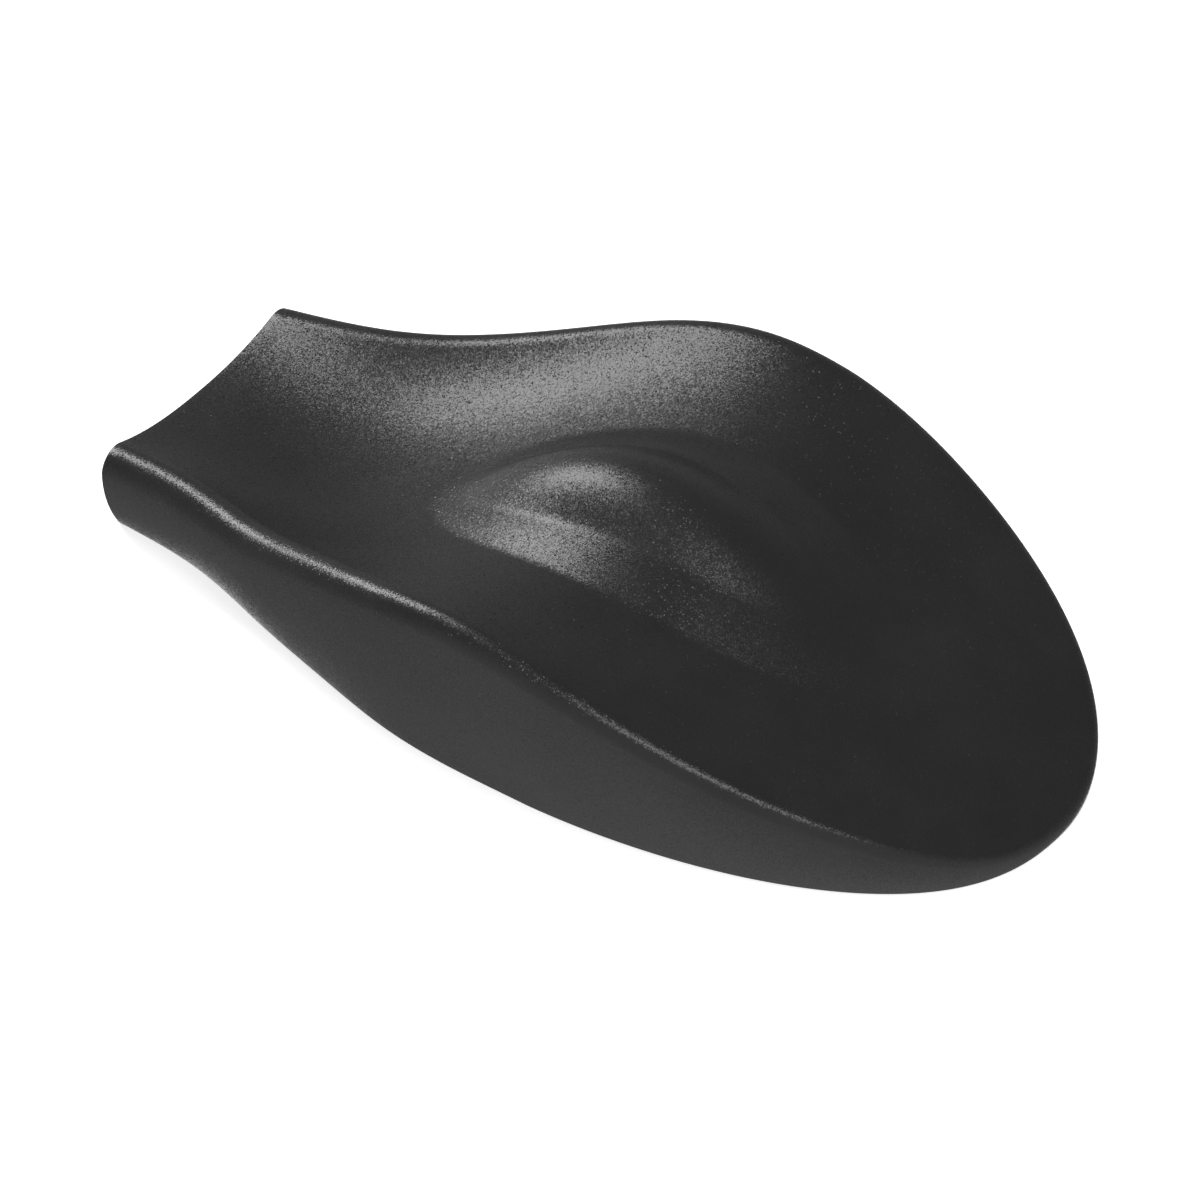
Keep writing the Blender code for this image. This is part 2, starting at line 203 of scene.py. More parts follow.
# ---------------------------------------------------------------- finishes
@dataclass(frozen=True)
class Finish:
    """What every finish has: a name, a colour and a roughness."""

    name: str
    colour: Colour
    roughness: float
    metallic: float = 0.0
    specular: float = 0.5

    def material(self) -> bpy.types.Material:
        """Make the material.

        Returns:
            A procedural material.
        """
        material = bpy.data.materials.new(self.name)
        material.use_nodes = True
        graph = Graph(material.node_tree)
        shader = material.node_tree.nodes["Principled BSDF"]
        shader.inputs["Metallic"].default_value = self.metallic
        shader.inputs["Specular IOR Level"].default_value = self.specular
        place = graph.node("ShaderNodeTexCoord").outputs["Object"]
        self.dress(graph, shader, place)
        return material

    def dress(self, graph: Graph, shader: bpy.types.Node, place: bpy.types.NodeSocket) -> None:
        """Add the finish's own nodes; each kind of finish has its own."""
        raise NotImplementedError

    def noise(self, graph: Graph, place: bpy.types.NodeSocket, cell: float, detail: float = 2.0) -> Value:
        """Even noise.

        Args:
            graph: The material's graph.
            place: Coordinates.
            cell: Size of one cell, in metres.
            detail: Octaves.

        Returns:
            A number about 0.5.
        """
        sockets = {"Vector": place, "Scale": 1 / cell, "Detail": detail, "Roughness": 0.6}
        return graph.value(graph.node("ShaderNodeTexNoise", None, sockets))

    def paint(self, graph: Graph, shader: bpy.types.Node, mask: Value, other: Colour) -> None:
        """Blend the base colour towards another one by a mask."""
        sockets = {"Factor": mask, "A": (*self.colour, 1), "B": (*other, 1)}
        mix = graph.node("ShaderNodeMix", {"data_type": "RGBA"}, sockets)
        graph.link(next(s for s in mix.outputs if s.enabled), shader.inputs["Base Color"])

    def emboss(self, graph: Graph, shader: bpy.types.Node, height: Value,
               depth: float, strength: float) -> None:
        """Feed a bump to the shader.

        Args:
            graph: The material's graph.
            shader: The Principled shader.
            height: Height, 0 to 1.
            depth: Depth of the relief, in metres.
            strength: Share of it that shows.
        """
        sockets = {"Height": height, "Distance": depth, "Strength": strength}
        bump = graph.node("ShaderNodeBump", None, sockets)
        graph.link(bump.outputs["Normal"], shader.inputs["Normal"])


@dataclass(frozen=True)
class SparkGrain(Finish):
    """Moulded plastic from a spark-eroded tool: fine, sharp grain that sparkles where half lit."""

    grain: float = 0.00044          # size of one facet of the grain
    tilt: float = 0.19              # how far facets lean, as a rule
    sparse_tilt: float = 0.8        # how much further the few steepest lean
    steepness: int = 12             # the higher, the fewer steep facets
    depth: float = 0.00015          # depth of the flow waves
    flow_size: float = 0.007
    cloud_size: float = 0.035
    rubbed: float = 0.03            # how much glossier the rim is
    dulled: float = 0.07            # how much duller the inside is
    pale: Colour = (0.018, 0.018, 0.0184)

    def dress(self, graph: Graph, shader: bpy.types.Node, place: bpy.types.NodeSocket) -> None:
        """Grain, a slow unevenness of gloss and tone, a rubbed rim and a smoother inside."""
        rim = graph.value(graph.node("ShaderNodeAttribute", {"attribute_name": Layer.RIM.value}), "Fac")
        inner = graph.value(graph.node("ShaderNodeAttribute", {"attribute_name": Layer.INNER.value}), "Fac")
        pits = self.noise(graph, place, self.grain)
        cloud = self.noise(graph, place, self.cloud_size)
        flow = self.noise(graph, place, self.flow_size, 3.0)
        self.paint(graph, shader, (cloud * 0.55 + pits * 0.45).step(0.3, 0.8), self.pale)
        gloss = self.roughness + (cloud - 0.5) * 0.06 + (flow - 0.5) * 0.03 + (pits - 0.5) * 0.10
        gloss = gloss - rim * self.rubbed + inner * self.dulled
        graph.link(gloss.socket, shader.inputs["Roughness"])
        sockets = {"Height": flow, "Distance": self.depth, "Strength": 0.5}
        waves = graph.node("ShaderNodeBump", None, sockets).outputs["Normal"]
        self.facet(graph, shader, place, waves, 1 - inner * 0.5)

    def facet(self, graph: Graph, shader: bpy.types.Node, place: bpy.types.NodeSocket,
              base: bpy.types.NodeSocket, share: Value) -> None:
        """Lean each facet of the grain its own way.

        Args:
            graph: The material's graph.
            shader: The Principled shader.
            place: Coordinates.
            base: The normal that facets lean from.
            share: Share of the lean that shows.
        """
        cells = graph.node("ShaderNodeTexVoronoi", None, {"Vector": place, "Scale": 1 / self.grain})
        draw = cells.outputs["Color"]
        centred = graph.node("ShaderNodeVectorMath", {"operation": "SUBTRACT"}, {0: draw, 1: (0.5, 0.5, 0.5)})
        chance = graph.value(graph.node("ShaderNodeSeparateColor", None, {0: draw}), "Red")
        lean = (chance ** self.steepness * self.sparse_tilt + self.tilt) * share
        scaled = graph.node("ShaderNodeVectorMath", {"operation": "SCALE"}, {0: centred.outputs[0], 3: lean})
        summed = graph.node("ShaderNodeVectorMath", {"operation": "ADD"}, {0: base, 1: scaled.outputs[0]})
        unit = graph.node("ShaderNodeVectorMath", {"operation": "NORMALIZE"}, {0: summed.outputs[0]})
        graph.link(unit.outputs[0], shader.inputs["Normal"])


@dataclass(frozen=True)
class FilledNylon(Finish):
    """Glass-filled nylon: faint fibre streaks that run along the flow."""

    fibre: float = 0.0009           # width of a streak
    stretch: float = 0.22           # width over length of a streak
    cloud_size: float = 0.018
    depth: float = 0.00010
    pale: Colour = (0.050, 0.050, 0.051)

    def dress(self, graph: Graph, shader: bpy.types.Node, place: bpy.types.NodeSocket) -> None:
        """Streaks in tone and gloss, over a fine grain."""
        sockets = {"Vector": place, "Scale": (self.stretch, 1.0, 1.0)}
        along = graph.node("ShaderNodeMapping", None, sockets).outputs["Vector"]
        streak = self.noise(graph, along, self.fibre, 3.0)
        grain = self.noise(graph, place, self.fibre * 0.45)
        cloud = self.noise(graph, place, self.cloud_size)
        self.paint(graph, shader, streak.step(0.50, 0.78) * 0.6 + cloud * 0.2, self.pale)
        gloss = self.roughness + (streak - 0.5) * 0.22 + (cloud - 0.5) * 0.08
        graph.link(gloss.socket, shader.inputs["Roughness"])
        self.emboss(graph, shader, grain * 0.6 + streak * 0.4, self.depth, 0.5)


@dataclass(frozen=True)
class SoftRubber(Finish):
    """Soft rubber: matt, a little dusty on the crests of its ribs."""

    axis: tuple[float, float] = (0.0, 0.0)      # x and z of the bar's axis
    crest: float = 0.0150                       # radius at the top of the ribs
    groove: float = 0.0136                      # radius at the bottom of the grooves
    skin_size: float = 0.00045
    cloud_size: float = 0.012
    depth: float = 0.00012
    dust: Colour = (0.052, 0.051, 0.050)

    def dress(self, graph: Graph, shader: bpy.types.Node, place: bpy.types.NodeSocket) -> None:
        """Dust on the crests, a fine skin and a slow change of gloss."""
        sockets = {"Vector": place, "Location": (-self.axis[0], 0.0, -self.axis[1]), "Scale": (1.0, 0.0, 1.0)}
        centred = graph.node("ShaderNodeMapping", None, sockets)
        across = graph.node("ShaderNodeVectorMath", {"operation": "LENGTH"}, {0: centred.outputs["Vector"]})
        high = graph.value(across, "Value").step(self.groove, self.crest)
        skin = self.noise(graph, place, self.skin_size)
        cloud = self.noise(graph, place, self.cloud_size, 3.0)
        self.paint(graph, shader, high * cloud * 0.9 + skin * 0.08, self.dust)
        gloss = self.roughness + (cloud - 0.5) * 0.10 - high * 0.05
        graph.link(gloss.socket, shader.inputs["Roughness"])
        self.emboss(graph, shader, skin, self.depth, 0.5)


@dataclass(frozen=True)
class TurnedSteel(Finish):
    """Bright steel with the faint rings that turning leaves, and small handling marks."""

    ring: float = 0.00012           # pitch of the rings
    mark_size: float = 0.0007
    depth: float = 0.00002
    dark: Colour = (0.36, 0.36, 0.37)

    def dress(self, graph: Graph, shader: bpy.types.Node, place: bpy.types.NodeSocket) -> None:
        """Rings about the screw's axis, and marks."""
        radius = graph.value(graph.node("ShaderNodeAttribute", {"attribute_name": Layer.TURNED.value}), "Fac")
        sockets = {"W": radius, "Scale": 1 / self.ring, "Detail": 2.0}
        rings = graph.value(graph.node("ShaderNodeTexNoise", {"noise_dimensions": "1D"}, sockets))
        marks = self.noise(graph, place, self.mark_size, 4.0).step(0.56, 0.74)
        self.paint(graph, shader, rings * 0.35 + marks * 0.5, self.dark)
        gloss = self.roughness + (rings - 0.5) * 0.20 + marks * 0.15
        graph.link(gloss.socket, shader.inputs["Roughness"])
        self.emboss(graph, shader, rings + marks * 0.5, self.depth, 0.6)


@dataclass(frozen=True)
class PaleFloor(Finish):
    """Plain white studio floor, lit from within so that it stays even."""

    glow: float = 0.7
    cloud_size: float = 0.6

    def dress(self, graph: Graph, shader: bpy.types.Node, place: bpy.types.NodeSocket) -> None:
        """A constant glow, and a tone that hardly varies."""
        self.paint(graph, shader, self.noise(graph, place, self.cloud_size) * 0.1, (0.95, 0.95, 0.95))
        shader.inputs["Roughness"].default_value = self.roughness
        shader.inputs["Emission Color"].default_value = (1, 1, 1, 1)
        shader.inputs["Emission Strength"].default_value = self.glow


# ---------------------------------------------------------------- mesh helpers
def mesh_object(name: str, bm: bmesh.types.BMesh, material: bpy.types.Material) -> bpy.types.Object:
    """Turn a bmesh into a smooth-shaded object at the origin.

    Args:
        name: The piece's name.
        bm: Its mesh, which is freed.
        material: Its finish.

    Returns:
        The new object.
    """
    mesh = bpy.data.meshes.new(name)
    bm.to_mesh(mesh)
    bm.free()
    mesh.shade_smooth()
    mesh.materials.append(material)
    obj = bpy.data.objects.new(name, mesh)
    bpy.context.scene.collection.objects.link(obj)
    return obj


def settle(obj: bpy.types.Object, helpers: Iterable[bpy.types.Object] = ()) -> bpy.types.Object:
    """Turn an object's evaluated shape into its plain mesh, and take its modifiers off.

    Args:
        obj: The object.
        helpers: Objects that only its modifiers needed, which are removed.

    Returns:
        The same object.
    """
    graph = bpy.context.evaluated_depsgraph_get()
    mesh = bpy.data.meshes.new_from_object(obj.evaluated_get(graph), depsgraph=graph)
    obj.modifiers.clear()
    obj.data = mesh
    mesh.name = obj.name
    for helper in helpers:
        bpy.data.objects.remove(helper, do_unlink=True)
    return obj


def bevel(obj: bpy.types.Object, width: float, segments: int = 3, angle: float = 40.0) -> None:
    """Round an object's sharp edges.

    Args:
        obj: The object.
        width: Width of the rounding.
        segments: Its segments.
        angle: Edges that turn more than this, in degrees, are rounded.
    """
    modifier = obj.modifiers.new("edges", "BEVEL")
    modifier.width = width
    modifier.segments = segments
    modifier.limit_method = "ANGLE"
    modifier.angle_limit = math.radians(angle)
    modifier.harden_normals = False


def lathe(profile: list[tuple[float, float]], segments: int) -> bmesh.types.BMesh:
    """Revolve a closed section about Z.

    Args:
        profile: Points (radius, z), in order; a radius of 0 makes a pole.
        segments: Steps round the axis.

    Returns:
        A closed mesh with its normals outwards.
    """
    bm = bmesh.new()
    rings = []
    for radius, z in profile:
        if radius == 0:
            rings.append([bm.verts.new((0, 0, z))] * segments)
            continue
        turn = [2 * math.pi * k / segments for k in range(segments)]
        rings.append([bm.verts.new((radius * math.cos(a), radius * math.sin(a), z)) for a in turn])
    pairs = list(zip(rings, rings[1:]))
    if profile[0][0] > 0:
        pairs.append((rings[-1], rings[0]))
    for low, high in pairs:
        for k in range(segments):
            n = (k + 1) % segments
            corners = list(dict.fromkeys((low[k], low[n], high[n], high[k])))
            if len(corners) > 2:
                bm.faces.new(corners)
    bmesh.ops.recalc_face_normals(bm, faces=bm.faces)
    return bm


def prism(corners: list[tuple[float, float, float]], sweep: tuple[float, float, float]) -> bmesh.types.BMesh:
    """Sweep a flat face along a vector.

    Args:
        corners: The face's corners.
        sweep: The vector.

    Returns:
        A closed mesh.
    """
    bm = bmesh.new()
    face = bm.faces.new([bm.verts.new(corner) for corner in corners])
    swept = bmesh.ops.extrude_face_region(bm, geom=[face])["geom"]
    moved = [item for item in swept if isinstance(item, bmesh.types.BMVert)]
    bmesh.ops.translate(bm, vec=sweep, verts=moved)
    bmesh.ops.recalc_face_normals(bm, faces=bm.faces)
    return bm


def spline(stations: Stations) -> Callable[[np.ndarray], np.ndarray]:
    """Natural cubic spline.

    Args:
        stations: Its (position, value) points.

    Returns:
        A function of positions.
    """
    x, y = np.array(stations, dtype=float).T
    h = np.diff(x)
    system = np.eye(len(x))
    right = np.zeros(len(x))
    for i in range(1, len(x) - 1):
        system[i, i - 1:i + 2] = h[i - 1], 2 * (h[i - 1] + h[i]), h[i]
        right[i] = 6 * ((y[i + 1] - y[i]) / h[i] - (y[i] - y[i - 1]) / h[i - 1])
    bend = np.linalg.solve(system, right)

    def value(s: np.ndarray) -> np.ndarray:
        """The spline at positions s."""
        i = np.clip(np.searchsorted(x, s) - 1, 0, len(h) - 1)
        a = (x[i + 1] - s) / h[i]
        b = 1 - a
        curve = ((a ** 3 - a) * bend[i] + (b ** 3 - b) * bend[i + 1]) * h[i] ** 2 / 6
        return a * y[i] + b * y[i + 1] + curve

    return value


# ---------------------------------------------------------------- geometry nodes
class GrowthTree:
    """A Geometry Nodes tree with named number inputs, run once on an object."""

    def __init__(self, name: str, inputs: dict[str, float]) -> None:
        """Start a tree.

        Args:
            name: The tree's name.
            inputs: Its named sizes.
        """
        self.tree = bpy.data.node_groups.new(name, "GeometryNodeTree")
        self.sizes = inputs
        face = self.tree.interface
        face.new_socket("Geometry", in_out="INPUT", socket_type="NodeSocketGeometry")
        for size in inputs:
            face.new_socket(size, in_out="INPUT", socket_type="NodeSocketFloat")
        face.new_socket("Geometry", in_out="OUTPUT", socket_type="NodeSocketGeometry")
        self.graph = Graph(self.tree)
        self.entry = self.graph.node("NodeGroupInput")

    def size(self, name: str) -> Value:
        """One of the named sizes, as a number in the tree."""
        return self.graph.value(self.entry, name)

    def close(self, geometry: bpy.types.NodeSocket, material: bpy.types.Material) -> None:
        """End the tree in Realize Instances and Set Material.

        Args:
            geometry: The shape so far.
            material: Its finish.
        """
        real = self.graph.node("GeometryNodeRealizeInstances", None, {"Geometry": geometry})
        sockets = {"Geometry": real.outputs[0], "Material": material}
        dressed = self.graph.node("GeometryNodeSetMaterial", None, sockets)
        self.graph.node("NodeGroupOutput", None, {"Geometry": dressed.outputs[0]})

    def grow(self, obj: bpy.types.Object, helpers: Iterable[bpy.types.Object] = ()) -> bpy.types.Object:
        """Run the tree on an object and keep the result as its plain mesh.

        Args:
            obj: The object.
            helpers: Templates that are removed afterwards.

        Returns:
            The same object.
        """
        modifier = obj.modifiers.new(self.tree.name, "NODES")
        modifier.node_group = self.tree
        for item in self.tree.interface.items_tree:
            if item.in_out == "INPUT" and item.name in self.sizes:
                modifier[item.identifier] = self.sizes[item.name]
        return settle(obj, helpers)


# ---------------------------------------------------------------- the moulded shell
@dataclass(frozen=True)
class MoundTier:
    """One tier of the knuckle mound: a skewed superellipsoid on the bowl's floor."""

    middle: float
    rise: float
    half_length: float
    half_width: float
    skew: float
    plan_power: float
    edge_power: float

    def inputs(self) -> dict[str, float]:
        """The tier's sizes, by the names of the tree's inputs."""
        return {"Middle": self.middle, "Rise": self.rise, "Half length": self.half_length,
                "Half width": self.half_width, "Skew": self.skew, "Plan power": self.plan_power,
                "Edge power": self.edge_power}


@dataclass
class ScoopShell:
    """The moulding: bowl, mound, rounded rim, skirt, and the bosses under the skin."""

    heel_at: float = -0.0045
    tip_at: float = 0.380
    wall: float = 0.0028
    roll_past: float = math.radians(4)
    nose_powers: tuple[float, float] = (1.8, 2.3)
    bowl_power: float = 2.35
    half_widths: Stations = ((-0.0045, 0.0575), (0.035, 0.0638), (0.070, 0.0758), (0.105, 0.0882),
                             (0.140, 0.1000), (0.175, 0.1064), (0.212, 0.1080))
    rim_heights: Stations = ((-0.0045, 0.0373), (0.035, 0.0425), (0.070, 0.0482), (0.105, 0.0590),
                             (0.140, 0.0708), (0.185, 0.0783), (0.226, 0.0724), (0.274, 0.0566),
                             (0.316, 0.0402), (0.354, 0.0230), (0.380, 0.0080))
    bowl_depths: Stations = ((-0.0045, 0.0075), (0.030, 0.0132), (0.060, 0.0178), (0.114, 0.0212),
                             (0.171, 0.0152), (0.228, 0.0055), (0.285, 0.0030), (0.342, 0.0012),
                             (0.380, 0.0004))
    rim_radii: Stations = ((-0.0045, 0.0085), (0.040, 0.0082), (0.200, 0.0072), (0.380, 0.0046))
    skirt_slopes: Stations = ((-0.0045, 0.36), (0.030, 0.34), (0.080, 0.265), (0.200, 0.215), (0.380, 0.300))
    tiers: tuple[MoundTier, ...] = (MoundTier(0.208, 0.0105, 0.098, 0.0485, -0.35, 2.1, 1.10),
                                    MoundTier(0.196, 0.0085, 0.080, 0.0280, -0.45, 2.0, 1.40))
    boss_places: tuple[tuple[float, float], ...] = ((0.184, 0.0695), (0.226, 0.0695),
                                                    (0.184, -0.0695), (0.226, -0.0695))
    boss_face: float = 0.0580
    boss_radius: float = 0.0048
    boss_flare: float = 0.0024
    pilot_radius: float = 0.0021
    pilot_depth: float = 0.0055
    edge: float = 0.0009
    rows: int = 150
    rings: int = 54
    roll: int = 12
    skirt: int = 12
    spine_end: float = 0.335
    spine_fan: float = 0.25
    turn_weight: float = 0.040
    finish: Finish = SparkGrain("moulded_black", (0.0115, 0.0115, 0.0118), 0.325, specular=0.4)

    def __post_init__(self) -> None:
        """Make the curves that the shape follows."""
        self.middle = (self.heel_at + self.tip_at) / 2
        self.rear_half_width = spline(self.half_widths)
        self.rim_height = spline(self.rim_heights)
        self.bowl_depth = spline(self.bowl_depths)
        self.rim_radius = spline(self.rim_radii)
        self.skirt_slope = spline(self.skirt_slopes)

    def half_width(self, s: np.ndarray) -> np.ndarray:
        """Half width of the outline at stations s."""
        widest, width = self.half_widths[-1]
        along = np.clip((s - widest) / (self.tip_at - widest), 0, 1) ** self.nose_powers[0]
        nose = width * (1 - along) ** (1 / self.nose_powers[1])
        return np.where(s <= widest, self.rear_half_width(np.minimum(s, widest)), nose)

    def mound(self, s: np.ndarray, y: np.ndarray) -> np.ndarray:
        """Height of the mound above the bowl's floor."""
        height = np.zeros_like(np.asarray(s, dtype=float))
        for tier in self.tiers:
            along = (s - tier.middle) / tier.half_length
            inside = 1 - np.abs(along) ** tier.plan_power - np.abs(y / tier.half_width) ** tier.plan_power
            dome = np.clip(inside, 0, None) ** tier.edge_power
            height = height + tier.rise * (1 + tier.skew * along) * dome
        return height

    def bowl(self, s: np.ndarray, y: np.ndarray) -> np.ndarray:
        """Height of the bowl without its mound."""
        inner = np.maximum(self.half_width(s) - self.rim_radius(s), 0.001)
        across = np.minimum(np.abs(y) / inner, 1.0)
        return self.rim_height(s) - self.bowl_depth(s) * (1 - across ** self.bowl_power)

    def outline(self) -> tuple[np.ndarray, np.ndarray]:
        """Plan points of the rim and their outward normals.

        Returns:
            Points (s, y) from the heel end to the tip, closer in the turns, and a normal for each.
        """
        widest = self.half_widths[-1][0]
        rear = np.linspace(self.heel_at, widest, 200)
        turn = np.linspace(0, math.pi / 2, 400)[1:]
        nose = widest + (self.tip_at - widest) * np.sin(turn) ** (2 / self.nose_powers[0])
        s = np.concatenate([rear, nose])
        dense = np.column_stack([s, self.half_width(s)])
        steps = np.diff(dense, axis=0)
        heading = np.unwrap(np.arctan2(steps[:, 1], steps[:, 0]))
        bend = np.abs(np.gradient(heading))
        run = np.concatenate([[0], np.cumsum(np.linalg.norm(steps, axis=1) + self.turn_weight * bend)])
        even = np.linspace(0, run[-1], self.rows + 1)
        points = np.column_stack([np.interp(even, run, dense[:, 0]), np.interp(even, run, dense[:, 1])])
        tangent = np.gradient(points, axis=0)
        normals = np.column_stack([-tangent[:, 1], tangent[:, 0]])
        normals[0] = (0, 1)
        normals[-1] = (1, 0)
        return points, normals / np.linalg.norm(normals, axis=1)[:, None]

    def row(self, index: int, point: np.ndarray, normal: np.ndarray) -> np.ndarray:
        """One row of the skin, without the mound.

        Args:
            index: The row's number.
            point: Its point on the outline.
            normal: The outline's normal there.

        Returns:
            Points (s, y, z) from the centre line over the rim to the resting plane.
        """
        s = point[0]
        radius = float(self.rim_radius(s))
        step = 0.001
        rise = 0.0
        for _ in range(5):
            edge = point - normal * radius * (1 + math.sin(rise))
            inner = edge - normal * step
            rise = math.atan(float(self.bowl(*edge) - self.bowl(*inner)) / step)
        along = (s - self.heel_at) / (self.tip_at - self.heel_at)
        share = self.spine_fan * index / self.rows + (1 - self.spine_fan) * along
        spine = np.array([self.heel_at + (self.spine_end - self.heel_at) * share, 0.0])
        plan = spine + (edge - spine) * np.linspace(0, 1, self.rings + 1)[:, None]
        top = np.column_stack([plan, self.bowl(plan[:, 0], plan[:, 1])])
        centre = edge + normal * radius * math.sin(rise)
        centre_z = top[-1, 2] - radius * math.cos(rise)
        angle = np.linspace(-rise, math.pi / 2 + self.roll_past, self.roll + 1)[1:, None]
        rolled_plan = centre + normal * radius * np.sin(angle)
        rolled = np.column_stack([rolled_plan, centre_z + radius * np.cos(angle)])
        start = math.tan(self.roll_past)
        drop = rolled[-1, 2]
        share = np.linspace(0, 1, self.skirt + 1)[1:, None]
        inset = drop * (start * share + (float(self.skirt_slope(s)) - start) * share ** 2)
        skirt = np.column_stack([rolled[-1, :2] - normal * inset, drop * (1 - share)])
        return np.vstack([top, rolled, skirt])

    def skin(self) -> tuple[bmesh.types.BMesh, list[list[list[int]]]]:
        """The outer surface, open below and behind.

        Returns:
            Its mesh, and the vertex numbers by side, row and place in the row.
        """
        points, normals = self.outline()
        rows = [self.row(i, points[i], normals[i]) for i in range(self.rows + 1)]
        bm = bmesh.new()
        numbers: list[list[list[int]]] = []
        middle_verts: dict[tuple[int, int], bmesh.types.BMVert] = {}
        for side in Side:
            grid = []
            for i, row in enumerate(rows):
                line = []
                for j, (s, y, z) in enumerate(row):
                    on_middle = j == 0 or i == self.rows
                    vert = middle_verts.get((i, j)) if on_middle else None
                    if vert is None:
                        vert = bm.verts.new((s - self.middle, 0.0 if on_middle else side.value * y, z))
                    if on_middle:
                        middle_verts[(i, j)] = vert
                    line.append(vert)
                grid.append(line)
            for near, far in zip(grid, grid[1:]):
                for j in range(len(near) - 1):
                    corners = (near[j], near[j + 1], far[j + 1], far[j])
                    bm.faces.new(corners if side is Side.RIGHT else corners[::-1])
            bm.verts.index_update()
            numbers.append([[vert.index for vert in line] for line in grid])
        return bm, numbers

    def raise_mound(self, obj: bpy.types.Object, material: bpy.types.Material) -> None:
        """Lift the mound out of the bowl's floor, one tier at a time.

        Args:
            obj: The skin.
            material: Its finish.
        """
        for tier in self.tiers:
            growth = GrowthTree("raise_mound_tier", {**tier.inputs(), "Frame middle": self.middle})
            graph = growth.graph
            position = graph.node("GeometryNodeInputPosition").outputs[0]
            place = graph.node("ShaderNodeSeparateXYZ", None, {0: position})
            station = graph.value(place, "X") + growth.size("Frame middle")
            along = (station - growth.size("Middle")) / growth.size("Half length")
            across = abs(graph.value(place, "Y")) / growth.size("Half width")
            power = growth.size("Plan power")
            inside = 1 - abs(along) ** power - across ** power
            edge = inside.at_least(0.0) ** growth.size("Edge power")
            lift = edge * growth.size("Rise") * (1 + growth.size("Skew") * along)
            offset = graph.node("ShaderNodeCombineXYZ", None, {"Z": lift})
            sockets = {"Geometry": growth.entry.outputs["Geometry"], "Offset": offset.outputs[0]}
            moved = graph.node("GeometryNodeSetPosition", None, sockets)
            growth.close(moved.outputs[0], material)
            growth.grow(obj)

    def thicken(self, mesh: bpy.types.Mesh, numbers: list[list[list[int]]]) -> bmesh.types.BMesh:
        """Give the skin its wall, a flat resting edge and a flat heel end.

        Args:
            mesh: The outer surface.
            numbers: Its vertex numbers by side, row and place.

        Returns:
            A closed mesh with the layers that the finish reads.
        """
        bm = bmesh.new()
        bm.from_mesh(mesh)
        bm.normal_update()
        bm.verts.ensure_lookup_table()
        outer = list(bm.verts)
        faces = list(bm.faces)
        inner = [bm.verts.new(vert.co - vert.normal * self.wall) for vert in outer]
        for grid in numbers:
            for line in grid:
                low = inner[line[-1]]
                above = inner[line[-2]]
                share = above.co.z / (above.co.z - low.co.z)
                low.co = above.co.lerp(low.co, share)
                low.co.z = 0.0
            for number in grid[0]:
                inner[number].co.x = self.heel_at - self.middle
        for face in faces:
            bm.faces.new([inner[vert.index] for vert in reversed(face.verts)])
        bm.verts.index_update()
        border = [edge for edge in bm.edges if edge.is_boundary
                  and all(vert.index < len(outer) for vert in edge.verts)]
        for edge in border:
            face = edge.link_faces[0]
            order = list(face.verts)
            a, b = edge.verts
            if order[(order.index(a) + 1) % len(order)] is b:
                a, b = b, a
            bm.faces.new((a, b, inner[b.index], inner[a.index]))
        self.mark(bm, numbers, len(outer))
        return bm

    def mark(self, bm: bmesh.types.BMesh, numbers: list[list[list[int]]], count: int) -> None:
        """Write the rim and inner layers.

        Args:
            bm: The closed shell.
            numbers: The outer vertex numbers by side, row and place.
            count: How many vertices the outer surface has.
        """
        rim = bm.verts.layers.float.new(Layer.RIM.value)
        inner = bm.verts.layers.float.new(Layer.INNER.value)
        bm.verts.ensure_lookup_table()
        crest = self.rings + self.roll * 0.45
        for grid in numbers:
            for line in grid:
                for j, number in enumerate(line):
                    bm.verts[number][rim] = math.exp(-((j - crest) / (self.roll * 0.5)) ** 2)
        for vert in bm.verts[count:]:
            vert[inner] = 1.0

    def add_boss(self, bm: bmesh.types.BMesh, place: tuple[float, float]) -> None:
        """Join a screw boss to the underside: a drilled post that flares into the wall.

        Args:
            bm: The shell's mesh.
            place: The boss's station and y.
        """
        s, y = place
        root = float(self.bowl(s, y) + self.mound(s, y)) - self.wall
        radius = self.boss_radius
        chamfer = self.edge / 2
        flare = [(radius + self.boss_flare * (1 - math.sin(a)), root - self.boss_flare * (1 - math.cos(a)))
                 for a in np.linspace(math.pi / 2, 0, 7)]
        pilot_top = self.boss_face + self.pilot_depth
        pilot = self.pilot_radius
        profile = [(0, pilot_top), (pilot, pilot_top),
                   (pilot, self.boss_face + chamfer), (pilot + chamfer, self.boss_face),
                   (radius - chamfer, self.boss_face), (radius, self.boss_face + chamfer), *flare,
                   (radius + self.boss_flare, root + self.wall), (0, root + self.wall)]
        post = lathe(profile, 40)
        bmesh.ops.translate(post, vec=(s - self.middle, y, 0), verts=post.verts)
        for vert in (v for v in post.verts if v.co.z > root - self.boss_flare * 1.01):
            station = vert.co.x + self.middle
            skin = float(self.bowl(station, vert.co.y) + self.mound(station, vert.co.y))
            if vert.co.z > root + self.wall / 2:
                vert.co.z = min(vert.co.z, skin - self.wall / 2)
            else:
                vert.co.z += skin - self.wall - root
        spare = bpy.data.meshes.new("post")
        post.to_mesh(spare)
        post.free()
        bm.from_mesh(spare)
        bpy.data.meshes.remove(spare)

